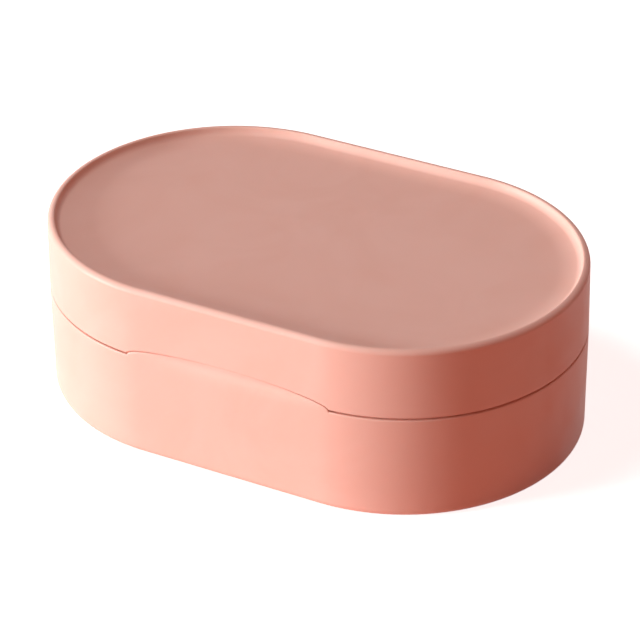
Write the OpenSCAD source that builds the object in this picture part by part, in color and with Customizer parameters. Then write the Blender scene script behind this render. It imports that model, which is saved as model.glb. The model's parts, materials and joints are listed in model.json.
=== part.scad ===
// Travel soap box: an oblong case with round ends, a hinged lid with a dished top,
// a thumb scoop at the front, a lift-out drain tray and a silicone seal.
// Millimetres. The box stands on Z = 0, its length lies along X and its front faces -Y.

/* [Body] */
// Length of the closed box over its round ends
box_l = 123; // [110:1:140]
// Width of the closed box, front to back, which is also twice the radius of its ends
box_w = 80; // [72:1:90]
// Height of the closed box
box_h = 41; // [38:0.5:50]
// Height of the seam between base and lid
seam_z = 24.6; // [22:0.2:27]
// Thickness of the side walls where skirt and tongue lap
wall = 3.4; // [3.2:0.1:4]
// Thickness of the floor of the base
floor_t = 2.4; // [1.8:0.1:3]
// How much narrower the outline gets from the seam to the floor and to the top, on each side
draft = 0.2; // [0:0.05:0.5]
// Radius of the outer bottom edge
bottom_r = 1.8; // [1:0.1:2.4]
// Radius inside the base between wall and floor
floor_r = 3; // [1.5:0.5:4]

/* [Underside] */
// Depth of the recess in the underside
foot_h = 0.6; // [0.4:0.1:0.9]
// Width of the ring that the box stands on
foot_w = 6; // [4:0.5:8]
// Radius of the flat pad in the middle of the recess
pad_r = 12; // [8:1:16]

/* [Lap joint] */
// Thickness of the lid's skirt at the seam
skirt_t = 1.6; // [1.4:0.1:1.8]
// Clearance between skirt and tongue
lap_gap = 0.2; // [0.15:0.05:0.3]
// Height of the tongue above the seam
tongue_h = 4; // [3.6:0.2:5]
// How far the lid's lower edge stays above the seam
seam_gap = 0.2; // [0.1:0.05:0.3]
// How far the base's ledge stays below the seam
ledge_gap = 0.2; // [0:0.05:0.3]
// Rounding of the edges along the seam
seam_r = 0.3; // [0.1:0.05:0.4]

/* [Lid top] */
// Thickness of the lid's top under the dish
top_t = 2; // [1.6:0.1:2.6]
// Depth of the dish in the top
dish_h = 2.2; // [1.8:0.1:3]
// Width of the flat on the rim's crest
rim_w = 0.1; // [0.05:0.05:0.5]
// Rounding of the rim's outer edge
rim_r = 1.2; // [0.6:0.1:1.4]
// Rounding of the rim's inner edge
lip_r = 0.35; // [0.2:0.05:0.5]
// Radius of the tight bend under the rim
dish_tight_r = 1.5; // [1:0.1:1.8]
// Radius of the wide sweep that runs out into the flat of the dish
dish_wide_r = 20; // [8:1:22]
// Radius inside the lid between wall and top
lid_r = 3; // [1.5:0.5:4]

/* [Thumb scoop] */
// Width of the scoop along the front
scoop_w = 49; // [30:1:52]
// Height of the arch in the lid's lower edge
arch_h = 3; // [2:0.1:3.2]
// How far the scoop runs down the base below the seam
scoop_drop = 2; // [1:0.1:3]
// Depth of the scoop's hollow under the lid's edge
scoop_d = 1; // [0.6:0.1:1.4]
// Height over which the hollow gets to its depth
scoop_rise = 5; // [4:0.5:7]
// Clearance between the base's thumb land and the arch
land_gap = 0.45; // [0.2:0.05:0.6]

/* [Hinge] */
// Diameter of the hinge pin
pin_d = 2; // [1.6:0.1:2.4]
// Clearance on radius where the pin is held in the base
pin_hold = 0.02; // [0.01:0.01:0.04]
// Clearance on radius where the lid turns on the pin
pin_run = 0.06; // [0.04:0.01:0.1]
// Diameter of the hinge barrel
barrel_d = 5.2; // [4.4:0.1:6]
// Width of the hinge
hinge_w = 36; // [24:1:42]
// Number of knuckles, an odd number
knuckles = 5; // [3:2:7]
// Gap between neighbouring knuckles
knuckle_gap = 0.3; // [0.2:0.05:0.5]
// Distance of the hinge axis behind the rear wall
axis_out = 0.6; // [0.5:0.1:0.8]
// Clearance round the barrel where the walls are cut back
barrel_gap = 0.4; // [0.3:0.05:0.5]
// Height of the webs that carry the knuckles
web_h = 7.5; // [6:0.5:9]

/* [Drain tray] */
// Clearance between tray and base wall
tray_gap = 1; // [0.6:0.1:1.4]
// Height of the tray's underside
tray_z = 8.5; // [8:0.5:10]
// Thickness of the tray's plate
tray_t = 1.8; // [1.4:0.1:2.4]
// Height of the tray's rim above its underside
tray_rim_h = 6.5; // [5:0.5:8]
// Thickness of the tray's rim
tray_rim_t = 1.6; // [1.2:0.1:2]
// Distance between neighbouring drain slots
slot_pitch = 7; // [6:0.5:9]
// Width of a drain slot
slot_w = 3; // [2:0.2:3.6]
// Width of a soap rib
rib_w = 1.8; // [1.2:0.1:2.2]
// Height of the soap ribs above the plate
rib_h = 1.4; // [1:0.1:2]
// Space between the ends of the slots and the rim
slot_margin = 5.5; // [4:0.5:8]
// Diameter of the finger hole
finger_d = 18; // [16:1:22]
// Thickness of the collar round the finger hole
collar_t = 1.4; // [1:0.1:2]
// Plain land between the collar and the slots
collar_land = 2.2; // [1:0.1:3]

/* [Tray supports] */
// Thickness of a support fin
fin_t = 2; // [1.4:0.1:3]
// How far a fin reaches in from the wall
fin_reach = 3.6; // [2.5:0.1:5]

/* [Seal] */
// Width of the seal ring
seal_w = 1; // [0.7:0.05:1.1]
// Height of the seal ring
seal_h = 1.6; // [1.2:0.1:2]
// Clearance between seal and groove
seal_fit = 0.05; // [0.02:0.01:0.08]
// Gap between the seal and the tongue's top
seal_gap = 0.1; // [0.05:0.05:0.2]
// How far the lid's shoulder stays above the tongue
shoulder_gap = 0.3; // [0.2:0.05:0.5]

/* [Hidden] */
$fn = 96;
// Segments of a small round edge, of a fillet and of the scoop's arch
edge_n = 4;
fillet_n = 8;
arch_n = 48;
// Overlap of joined bodies and overrun of cuts
eps = 0.01;
over = 1;

box_peach = "#eeb09b";
tray_white = "#f3ece6";
seal_white = "#e6e2dc";
pin_steel = "#b9bcc0";

// The outline is a straight spine of this half-length, and every profile is a distance from it
spine = (box_l - box_w) / 2;
out_r = box_w / 2;
in_r = out_r - wall;
tongue_out_r = out_r - skirt_t - lap_gap;
ledge_z = seam_z - ledge_gap;
tongue_top_z = seam_z + tongue_h;
shoulder_z = tongue_top_z + shoulder_gap;
dish_z = box_h - dish_h;
ceiling_z = dish_z - top_t;
wide_slope = 12; // slope in degrees where the tight bend meets the wide sweep
crest_slope = 72; // slope in degrees where the rim's inner edge meets the tight bend

axis_y = out_r + axis_out;
barrel_r = barrel_d / 2;
knuckle_pitch = hinge_w / knuckles;

seal_out_r = out_r - skirt_t - seal_fit;
seal_z = tongue_top_z + seal_gap;

tray_r = in_r - tray_gap;
tray_plate_z = tray_z + tray_t;
tray_edge_r = 0.7;
slot_r = tray_r - tray_rim_t - slot_margin;
slots_each_way = floor((spine + slot_r - slot_w) / slot_pitch);
finger_r = finger_d / 2;
collar_r = finger_r + collar_t;

// Points of an arc in a profile, from angle a0 to angle a1 in degrees
function arc(x, z, r, a0, a1, n) =
    [for (i = [0:n]) [x + r * cos(a0 + (a1 - a0) * i / n), z + r * sin(a0 + (a1 - a0) * i / n)]];

// Half-depth of the oblong of radius r at the place x along its length
function oblong_y(r, x) = sqrt(max(0, r * r - pow(max(0, abs(x) - spine), 2)));

// Sweeps a profile, drawn as distance from the spine against height, round the oblong
module round_the_oblong() {
    for (side = [-1, 1])
        translate([side * spine, 0, 0])
            rotate([0, 0, -90 * side])
                rotate_extrude(angle = 180) children();
    translate([-spine, 0, 0]) rotate([90, 0, 90]) linear_extrude(2 * spine) {
        children();
        mirror([1, 0]) children();
    }
}

// Upright prism with an oblong outline of radius r
module oblong_prism(r, z0, z1) {
    translate([0, 0, z0]) linear_extrude(z1 - z0) {
        square([2 * spine, 2 * r], center = true);
        for (side = [-1, 1]) translate([side * spine, 0]) circle(r);
    }
}

// Prism along Y from y0 to y1 whose outline is drawn in X and Z
module prism_along_y(y0, y1) {
    translate([0, y1, 0]) rotate([90, 0, 0]) linear_extrude(y1 - y0) children();
}

// Cylinder round the hinge axis
module round_the_axis(x0, x1, r) {
    translate([x0, axis_y, seam_z]) rotate([0, 90, 0]) cylinder(r = r, h = x1 - x0);
}

// Half-ellipse that stands on the seam, for the arch and the land that fills it
module arch_outline(half_w, height) {
    polygon(concat(
        [for (i = [0:arch_n]) let (a = 180 * i / arch_n) [half_w * cos(a), seam_z + height * sin(a)]],
        [[-half_w, seam_z - over], [half_w, seam_z - over]]));
}

// Left end of knuckle i, counted from the left
function knuckle_x(i) = -hinge_w / 2 + i * knuckle_pitch;

// The base has the even knuckles and the lid the odd ones
module each_knuckle(first) {
    for (i = [first:2:knuckles - 1]) {
        $x0 = knuckle_x(i);
        $x1 = knuckle_x(i + 1);
        children();
    }
}

// A knuckle with its web on the rear wall: side is -1 below the axis, 1 above it
module knuckle(side) {
    x0 = $x0 + knuckle_gap / 2;
    x1 = $x1 - knuckle_gap / 2;
    foot = [-axis_out - draft, side * web_h];
    tangent_at = atan2(foot.y, foot.x) - side * acos(barrel_r / norm(foot));
    round_the_axis(x0, x1, barrel_r);
    translate([x0, axis_y, seam_z]) rotate([90, 0, 90]) linear_extrude(x1 - x0)
        polygon([
            [0, 0],
            [-axis_out - skirt_t / 2, 0],
            [-axis_out - skirt_t / 2, side * web_h],
            foot,
            barrel_r * [cos(tangent_at), sin(tangent_at)]]);
}

// Room cut in the walls for the knuckles of the other shell
module knuckle_room(first) {
    each_knuckle(first)
        round_the_axis($x0 - knuckle_gap / 2, $x1 + knuckle_gap / 2, barrel_r + barrel_gap);
}

module pin_bore(clearance) {
    round_the_axis(-hinge_w / 2 - over, hinge_w / 2 + over, pin_d / 2 + clearance);
}

// Profile of the base: underside with its standing ring, wall, ledge, tongue and floor
module base_profile() {
    low_r = out_r - draft;
    ring_in_r = low_r - bottom_r - foot_w;
    polygon(concat(
        [[0, 0], [pad_r, 0], [pad_r + foot_h, foot_h], [ring_in_r - foot_h, foot_h], [ring_in_r, 0]],
        arc(low_r - bottom_r, bottom_r, bottom_r, -90, 0, fillet_n),
        arc(out_r - seam_r, ledge_z - seam_r, seam_r, 0, 90, edge_n),
        [[tongue_out_r, ledge_z]],
        arc(tongue_out_r - seam_r, tongue_top_z - seam_r, seam_r, 0, 90, edge_n),
        arc(in_r + seam_r, tongue_top_z - seam_r, seam_r, 90, 180, edge_n),
        arc(in_r - floor_r, floor_t + floor_r, floor_r, 0, -90, fillet_n),
        [[0, floor_t]]));
}

// Fins that carry the tray, on the inner wall at the ends and beside the straight sides
module tray_fins() {
    fin_h = tray_z - floor_t + eps;
    for (side = [-1, 1]) {
        translate([side * (spine + in_r) - fin_reach, -fin_t / 2, floor_t - eps])
            cube([2 * fin_reach, fin_t, fin_h]);
        for (x = [-spine, 0, spine])
            translate([x - fin_t / 2, side * in_r - fin_reach, floor_t - eps])
                cube([fin_t, 2 * fin_reach, fin_h]);
    }
}

// Hollow that is scooped out of the base's front, turned about an axis above the box
module scoop_hollow() {
    hollow_r = (scoop_rise * scoop_rise + scoop_d * scoop_d) / (2 * scoop_d);
    edge_r = (scoop_w * scoop_w / 4 + scoop_drop * scoop_drop) / (2 * scoop_drop);
    start = asin(scoop_rise / hollow_r);
    translate([0, -out_r, seam_z - scoop_drop + edge_r]) rotate([-90, 0, 0]) rotate_extrude($fn = 360)
        polygon(concat(
            [[0, -wall], [0, scoop_d]],
            arc(edge_r, hollow_r, hollow_r, -90 - start, -90, fillet_n),
            [[edge_r, -wall]]));
}

// Land that the base raises into the lid's arch, so that the hollow runs on up to it
module thumb_land() {
    intersection() {
        prism_along_y(-out_r - over, -in_r)
            arch_outline(scoop_w / 2 - land_gap, arch_h - land_gap);
        difference() {
            oblong_prism(out_r, ledge_z - seam_r, tongue_top_z);
            oblong_prism(tongue_out_r - eps, seam_z - over, tongue_top_z + over);
        }
    }
}

module base_shell() {
    color(box_peach) difference() {
        union() {
            difference() {
                union() {
                    round_the_oblong() base_profile();
                    thumb_land();
                }
                scoop_hollow();
                knuckle_room(1);
            }
            each_knuckle(0) knuckle(-1);
            intersection() {
                tray_fins();
                oblong_prism(in_r + wall / 2, 0, seam_z);
            }
        }
        pin_bore(pin_hold);
    }
}

// Profile of the lid: skirt, wall, rim, dish, ceiling and the groove for the seal
module lid_profile() {
    edge_z = seam_z + seam_gap;
    top_r = out_r - draft;
    groove_in_r = seal_out_r - seal_w - seal_fit;
    groove_top_z = seal_z + seal_h + seal_fit;
    crest_in_r = top_r - rim_r - rim_w - lip_r;
    // The two arcs of the dish end level at the dish's depth
    bend_r = crest_in_r + lip_r * (1 - sin(crest_slope));
    tight_x = bend_r - dish_tight_r * sin(crest_slope);
    tight_z = dish_z + (dish_wide_r - dish_tight_r) * (1 - cos(wide_slope)) + dish_tight_r;
    wide_x = tight_x - (dish_wide_r - dish_tight_r) * sin(wide_slope);
    polygon(concat(
        [[out_r - skirt_t, edge_z], [out_r - seam_r, edge_z]],
        arc(out_r - seam_r, edge_z + seam_r, seam_r, -90, 0, edge_n),
        arc(top_r - rim_r, box_h - rim_r, rim_r, 0, 90, fillet_n),
        arc(crest_in_r + lip_r, box_h - lip_r, lip_r, 90, 90 + crest_slope, edge_n),
        arc(tight_x, tight_z, dish_tight_r, crest_slope - 90, wide_slope - 90, fillet_n),
        arc(wide_x, dish_z + dish_wide_r, dish_wide_r, wide_slope - 90, -90, fillet_n),
        [[0, dish_z], [0, ceiling_z]],
        arc(in_r - lid_r, ceiling_z - lid_r, lid_r, 90, 0, fillet_n),
        [[in_r, shoulder_z], [groove_in_r, shoulder_z], [groove_in_r, groove_top_z],
         [out_r - skirt_t, groove_top_z]]));
}

module lid_shell() {
    color(box_peach) difference() {
        union() {
            difference() {
                round_the_oblong() lid_profile();
                prism_along_y(-out_r - over, -tongue_out_r) arch_outline(scoop_w / 2, arch_h);
                knuckle_room(0);
            }
            each_knuckle(1) knuckle(1);
        }
        pin_bore(pin_run);
    }
}

module hinge_pin() {
    color(pin_steel) round_the_axis(-hinge_w / 2, hinge_w / 2, pin_d / 2);
}

module lid_seal() {
    color(seal_white) round_the_oblong()
        translate([seal_out_r - seal_w, seal_z]) square([seal_w, seal_h]);
}

// Profile of the tray: plate and rim, with round edges
module tray_profile() {
    top_z = tray_z + tray_rim_h;
    rim_in_r = tray_r - tray_rim_t;
    tip_r = tray_rim_t / 2;
    polygon(concat(
        [[0, tray_z]],
        arc(tray_r - tray_edge_r, tray_z + tray_edge_r, tray_edge_r, -90, 0, edge_n),
        arc(tray_r - tip_r, top_z - tip_r, tip_r, 0, 180, fillet_n),
        arc(rim_in_r - tray_edge_r, tray_plate_z + tray_edge_r, tray_edge_r, 0, -90, edge_n),
        [[0, tray_plate_z]]));
}

// One drain slot with round ends, as long as the tray allows at x
module slot_outline(x) {
    half = oblong_y(slot_r, x) - slot_w / 2;
    translate([x, 0]) {
        square([slot_w, 2 * half], center = true);
        for (end = [-half, half]) translate([0, end]) circle(slot_w / 2);
    }
}

module drain_tray() {
    clear_r = collar_r + collar_land;
    color(tray_white) difference() {
        union() {
            round_the_oblong() tray_profile();
            // Soap ribs across the tray, between the slots
            translate([0, 0, tray_plate_z - eps]) linear_extrude(rib_h + eps) difference() {
                for (i = [-slots_each_way:slots_each_way - 1])
                    let (x = (i + 0.5) * slot_pitch)
                        translate([x, 0]) square([rib_w, 2 * oblong_y(slot_r, x)], center = true);
                circle(collar_r);
            }
            translate([0, 0, tray_z]) cylinder(r = collar_r, h = tray_t + rib_h);
        }
        translate([0, 0, tray_z - over]) linear_extrude(tray_t + 2 * over) difference() {
            for (i = [-slots_each_way:slots_each_way]) slot_outline(i * slot_pitch);
            circle(clear_r);
        }
        translate([0, 0, tray_z - over]) cylinder(r = finger_r, h = tray_t + rib_h + 2 * over);
    }
}

base_shell();
lid_shell();
hinge_pin();
lid_seal();
drain_tray();
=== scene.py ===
"""Travel soap box: two moulded shells, rear hinge, seal and drain tray, lit as in the photograph."""

import json
import logging
import math
from abc import ABC, abstractmethod
from contextlib import contextmanager
from dataclasses import dataclass, field
from enum import Enum
from functools import partial
from typing import Any, Callable, Iterator, Mapping, NamedTuple, Sequence

import bmesh
import bpy
from mathutils import Matrix, Vector


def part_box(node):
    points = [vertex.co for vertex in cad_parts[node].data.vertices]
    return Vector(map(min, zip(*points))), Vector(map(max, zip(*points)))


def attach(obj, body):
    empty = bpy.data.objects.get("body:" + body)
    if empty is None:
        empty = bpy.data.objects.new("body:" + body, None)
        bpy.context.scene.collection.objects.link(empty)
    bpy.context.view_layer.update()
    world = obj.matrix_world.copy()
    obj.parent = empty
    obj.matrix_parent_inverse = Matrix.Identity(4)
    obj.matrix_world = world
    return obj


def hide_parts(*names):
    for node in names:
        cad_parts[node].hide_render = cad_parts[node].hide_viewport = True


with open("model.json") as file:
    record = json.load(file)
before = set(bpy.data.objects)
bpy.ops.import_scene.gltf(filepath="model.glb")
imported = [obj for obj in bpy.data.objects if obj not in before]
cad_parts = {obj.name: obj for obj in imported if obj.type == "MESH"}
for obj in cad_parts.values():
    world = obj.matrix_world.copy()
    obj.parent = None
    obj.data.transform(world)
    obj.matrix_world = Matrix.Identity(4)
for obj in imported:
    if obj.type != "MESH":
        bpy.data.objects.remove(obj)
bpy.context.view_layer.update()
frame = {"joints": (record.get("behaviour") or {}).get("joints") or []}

MM = 0.001
WELD = 1e-7  # vertices closer than this are one
GUARD = 0.05 * MM  # strip beside a rounded edge that keeps the flat next to it flat
GUARD_ROOM = 3 * GUARD  # a shorter flat gets no such strip
CREASE = math.radians(38)  # edges that turn more than this stay sharp to the eye

log = logging.getLogger("soap_box")

Piece = bpy.types.Object
Node = bpy.types.Node
Socket = bpy.types.NodeSocket
Tree = bpy.types.NodeTree
Point = tuple[float, float]
Profile = list[Point]


class Body(str, Enum):
    """The rigid bodies that the pieces ride on."""

    BASE = "base"
    LID = "lid"
    TRAY = "tray"


class Slot(str, Enum):
    """The record's material slots."""

    SHELL = "peach_shell"
    TRAY = "tray_plastic"
    SEAL = "seal_silicone"
    PIN = "pin_steel"


class Cut(str, Enum):
    """What a tool does to the piece that it is used on."""

    JOIN = "UNION"
    REMOVE = "DIFFERENCE"
    SHARE = "INTERSECT"


class Corner(NamedTuple):
    """Corner of a profile: distance from the spine, height, rounding and the segments of the rounding."""

    r: float
    z: float
    radius: float = 0.0
    steps: int = 8


def rounded(corners: Sequence[Corner], closed: bool = False) -> Profile:
    """Rounds the corners of a profile.

    Args:
        corners: The corners in order, with the radius of each.
        closed: Whether the last corner joins the first.

    Returns:
        The profile's points, with a narrow guard strip on each side of a round corner where there is room.
    """
    count = len(corners)
    places = [Vector((corner.r, corner.z)) for corner in corners]
    bends = []
    for i, corner in enumerate(corners):
        if corner.radius <= 0 or (not closed and i in (0, count - 1)):
            bends.append(None)
            continue
        back = (places[i - 1] - places[i]).normalized()
        ahead = (places[(i + 1) % count] - places[i]).normalized()
        half = back.angle(ahead) / 2
        bends.append((back, ahead, half, corner.radius / math.tan(half)))
    reach = [bend[3] if bend else 0.0 for bend in bends]
    spare = [(places[(i + 1) % count] - places[i]).length - reach[i] - reach[(i + 1) % count]
             for i in range(count)]
    points: list[Vector] = []
    for i, corner in enumerate(corners):
        if bends[i] is None:
            points.append(places[i])
            continue
        back, ahead, half, length = bends[i]
        centre = places[i] + (back + ahead).normalized() * corner.radius / math.sin(half)
        first = places[i] + back * length - centre
        last = places[i] + ahead * length - centre
        turn = first.angle_signed(last)
        if spare[i - 1] > GUARD_ROOM:
            points.append(places[i] + back * (length + GUARD))
        for k in range(corner.steps + 1):
            points.append(centre + Matrix.Rotation(-turn * k / corner.steps, 2) @ first)
        if spare[i] > GUARD_ROOM:
            points.append(places[i] + ahead * (length + GUARD))
    return [(point.x, point.y) for point in points]


def spool(radius: float, low: float, high: float, lip: float, over: float, steps: int = 5) -> Profile:
    """Profile of a cutter that leaves rounded lips round a hole.

    Args:
        radius: Radius of the hole.
        low: Height of the plate's underside.
        high: Height of the plate's upper side.
        lip: Radius of the lips.
        over: How far the cutter passes the plate.
        steps: Segments of each lip.

    Returns:
        The profile from the axis below the plate to the axis above it.
    """
    wide = radius + lip
    quarter = [math.pi / 2 * k / steps for k in range(steps + 1)]
    below = [(wide - lip * math.sin(a), low + lip - lip * math.cos(a)) for a in quarter]
    above = [(wide - lip * math.cos(a), high - lip + lip * math.sin(a)) for a in quarter]
    return [(0.0, low - over), (wide, low - over), *below, *above, (wide, high + over), (0.0, high + over)]


def facing(azimuth: float, elevation: float) -> Vector:
    """Works out the direction from the box to something round it.

    Args:
        azimuth: The angle from the front towards the right end.
        elevation: The angle above the floor.

    Returns:
        The direction, as a vector of length 1.
    """
    return Vector((math.sin(azimuth) * math.cos(elevation), -math.cos(azimuth) * math.cos(elevation),
                   math.sin(elevation)))


def linked(name: str, data: bpy.types.ID) -> Piece:
    """Makes an object of its data and links it to the scene."""
    thing = bpy.data.objects.new(name, data)
    bpy.context.scene.collection.objects.link(thing)
    return thing


def mesh_object(name: str, verts: Sequence[Sequence[float]], faces: Sequence[Sequence[int]],
                edges: Sequence[Sequence[int]] = ()) -> Piece:
    """Makes an object of a mesh and links it to the scene.

    Args:
        name: Name of the object and its mesh.
        verts: Places of the vertices, in metres.
        faces: Vertex numbers of each face.
        edges: Vertex numbers of each loose edge.

    Returns:
        The new object.
    """
    mesh = bpy.data.meshes.new(name)
    mesh.from_pydata([tuple(v) for v in verts], [tuple(e) for e in edges], [tuple(f) for f in faces])
    return linked(name, mesh)


def polyline(name: str, points: Sequence[Sequence[float]]) -> Piece:
    """Makes an object of a chain of vertices."""
    return mesh_object(name, points, (), [(i, i + 1) for i in range(len(points) - 1)])


@contextmanager
def editing(piece: Piece) -> Iterator[bmesh.types.BMesh]:
    """Opens a piece's mesh for changes and writes them back.

    Args:
        piece: The piece.

    Yields:
        Its mesh, ready for changes.
    """
    shape = bmesh.new()
    shape.from_mesh(piece.data)
    yield shape
    shape.to_mesh(piece.data)
    shape.free()


def tidy(piece: Piece) -> None:
    """Merges a piece's doubles and turns all its faces outwards.

    Args:
        piece: A piece whose mesh is closed once its doubles are merged.
    """
    with editing(piece) as shape:
        bmesh.ops.remove_doubles(shape, verts=shape.verts, dist=WELD)
        bmesh.ops.dissolve_degenerate(shape, edges=shape.edges, dist=WELD)
        bmesh.ops.recalc_face_normals(shape, faces=shape.faces)


def bake(piece: Piece) -> None:
    """Turns what a piece's modifiers make into its plain mesh, and removes them.

    Args:
        piece: A piece with modifiers.
    """
    depsgraph = bpy.context.evaluated_depsgraph_get()
    mesh = bpy.data.meshes.new_from_object(piece.evaluated_get(depsgraph), depsgraph=depsgraph)
    piece.modifiers.clear()
    piece.data = mesh
    mesh.name = piece.name


def carve(piece: Piece, tool: Piece, cut: Cut) -> None:
    """Joins a tool to a piece, cuts the piece with it or keeps what both share, and removes the tool.

    Args:
        piece: The closed mesh that is changed.
        tool: The closed mesh that it is changed with.
        cut: What the tool does to the piece.
    """
    modifier = piece.modifiers.new("carve", "BOOLEAN")
    modifier.solver = "MANIFOLD"
    modifier.operation = cut.value
    modifier.object = tool
    bake(piece)
    bpy.data.objects.remove(tool)


def polish(piece: Piece) -> None:
    """Shades a piece smooth, apart from its sharp edges."""
    piece.data.shade_smooth()
    piece.data.set_sharp_from_angle(angle=CREASE)


def join(name: str, pieces: Sequence[Piece]) -> Piece:
    """Makes one object of several that don't touch, and removes them.

    Args:
        name: Name of the new object.
        pieces: The objects.

    Returns:
        The new object.
    """
    verts: list[Vector] = []
    faces: list[list[int]] = []
    for piece in pieces:
        first = len(verts)
        verts += [vert.co.copy() for vert in piece.data.vertices]
        faces += [[first + i for i in face.vertices] for face in piece.data.polygons]
        bpy.data.objects.remove(piece)
    return mesh_object(name, verts, faces)


def add_node(tree: Tree, kind: str, settings: Mapping[str, Any] | None = None,
             inputs: Mapping[Any, Any] | None = None) -> Node:
    """Adds a node with its settings, values and links.

    Args:
        tree: The tree that it is added to.
        kind: Blender's name for the kind of node.
        settings: Its properties.
        inputs: Its sockets by name or number, each with a value or with the output that feeds it.

    Returns:
        The new node.
    """
    node = tree.nodes.new(kind)
    for name, value in (settings or {}).items():
        setattr(node, name, value)
    for key, value in (inputs or {}).items():
        if isinstance(value, Socket):
            tree.links.new(value, node.inputs[key])
        else:
            node.inputs[key].default_value = value
    return node


def calculate(tree: Tree, kind: str, operation: str, *values: Any) -> Socket:
    """Adds a calculation to a tree.

    Args:
        tree: The tree.
        kind: Blender's name for the kind of node.
        operation: Its name for what is done.
        values: What it is done with: numbers, or outputs that feed them.

    Returns:
        The output with the result.
    """
    return add_node(tree, kind, {"operation": operation}, dict(enumerate(values))).outputs[0]


def mapped(tree: Tree, value: Socket, span: Sequence[Any] = (0.0, 1.0),
           to: Sequence[Any] = (0.0, 1.0)) -> Socket:
    """Maps a value from one range to another, and holds it at the ends.

    Args:
        tree: The tree.
        value: The value.
        span: The ends of the first range.
        to: The ends of the second range.

    Returns:
        The output with the mapped value.
    """
    return add_node(tree, "ShaderNodeMapRange", {"clamp": True},
                    dict(enumerate([value, *span, *to]))).outputs[0]


@dataclass
class ShapeTree:
    """A geometry node tree with named inputs, which shapes a piece once and leaves a plain mesh."""

    name: str
    sockets: Mapping[str, str]
    build: Callable[[Tree, Node], Socket]
    tree: Tree = field(init=False)

    def __post_init__(self) -> None:
        """Builds the tree, ending in Realize Instances and Set Material."""
        self.tree = bpy.data.node_groups.new(self.name, "GeometryNodeTree")
        face = self.tree.interface
        face.new_socket("Geometry", in_out="INPUT", socket_type="NodeSocketGeometry")
        for name, kind in {**self.sockets, "Material": "NodeSocketMaterial"}.items():
            face.new_socket(name, in_out="INPUT", socket_type=kind)
        face.new_socket("Geometry", in_out="OUTPUT", socket_type="NodeSocketGeometry")
        start = add_node(self.tree, "NodeGroupInput")
        shape = self.build(self.tree, start)
        real = add_node(self.tree, "GeometryNodeRealizeInstances", inputs={"Geometry": shape})
        dressed = add_node(self.tree, "GeometryNodeSetMaterial",
                           inputs={"Geometry": real.outputs[0], "Material": start.outputs["Material"]})
        add_node(self.tree, "NodeGroupOutput", inputs={0: dressed.outputs[0]})

    def apply(self, piece: Piece, **values: Any) -> Piece:
        """Runs the tree on a piece.

        Args:
            piece: The object whose mesh goes in and which gets the result.
            values: The tree's inputs by name, with underscores for spaces.

        Returns:
            The same object.
        """
        modifier = piece.modifiers.new(self.name, "NODES")
        modifier.node_group = self.tree
        known = {item.name: item.identifier for item in self.tree.interface.items_tree
                 if item.item_type == "SOCKET" and item.in_out == "INPUT"}
        for name, value in values.items():
            modifier[known[name.replace("_", " ")]] = value
        bake(piece)
        return piece


def sweep_nodes(tree: Tree, start: Node) -> Socket:
    """Sweeps a profile, given as a chain of vertices, round an oblong with a straight spine along X.

    Args:
        tree: The tree to build in.
        start: Its input node.

    Returns:
        The output that carries the swept mesh.
    """
    maths = partial(calculate, tree, "ShaderNodeMath")
    whole = partial(calculate, tree, "FunctionNodeIntegerMath")
    profile = start.outputs["Geometry"]
    side, end = start.outputs["Side Segments"], start.outputs["End Segments"]
    points = add_node(tree, "GeometryNodeAttributeDomainSize", {"component": "MESH"},
                      {"Geometry": profile}).outputs["Point Count"]
    marks = [0, side, whole("ADD", side, end)]
    marks.append(whole("ADD", marks[2], side))
    marks.append(whole("ADD", marks[3], end))
    grid = add_node(tree, "GeometryNodeMeshGrid",
                    inputs={"Vertices X": whole("ADD", marks[4], 1), "Vertices Y": points}).outputs["Mesh"]
    index = add_node(tree, "GeometryNodeInputIndex").outputs[0]
    station = whole("DIVIDE_FLOOR", index, points)
    number = whole("SUBTRACT", index, whole("MULTIPLY", station, points))
    front, right, rear, left = (mapped(tree, station, marks[i:i + 2]) for i in range(4))
    angle = maths("MULTIPLY_ADD", maths("ADD", right, left), math.pi, -math.pi / 2)
    along = maths("MULTIPLY_ADD", maths("SUBTRACT", front, rear), 2.0, -1.0)
    spine_x = maths("MULTIPLY", along, start.outputs["Spine Half Length"])
    place = add_node(tree, "GeometryNodeInputPosition").outputs[0]
    sample = add_node(tree, "GeometryNodeSampleIndex", {"data_type": "FLOAT_VECTOR", "domain": "POINT"},
                      {"Geometry": profile, "Value": place, "Index": number}).outputs[0]
    drawn = add_node(tree, "ShaderNodeSeparateXYZ", inputs={0: sample})
    x = maths("MULTIPLY_ADD", drawn.outputs["X"], maths("COSINE", angle), spine_x)
    y = maths("MULTIPLY", drawn.outputs["X"], maths("SINE", angle))
    swept = add_node(tree, "ShaderNodeCombineXYZ",
                     inputs={"X": x, "Y": y, "Z": drawn.outputs["Z"]}).outputs[0]
    moved = add_node(tree, "GeometryNodeSetPosition",
                     inputs={"Geometry": grid, "Position": swept}).outputs[0]
    return add_node(tree, "GeometryNodeMergeByDistance",
                    inputs={"Geometry": moved, "Distance": WELD}).outputs[0]


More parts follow.
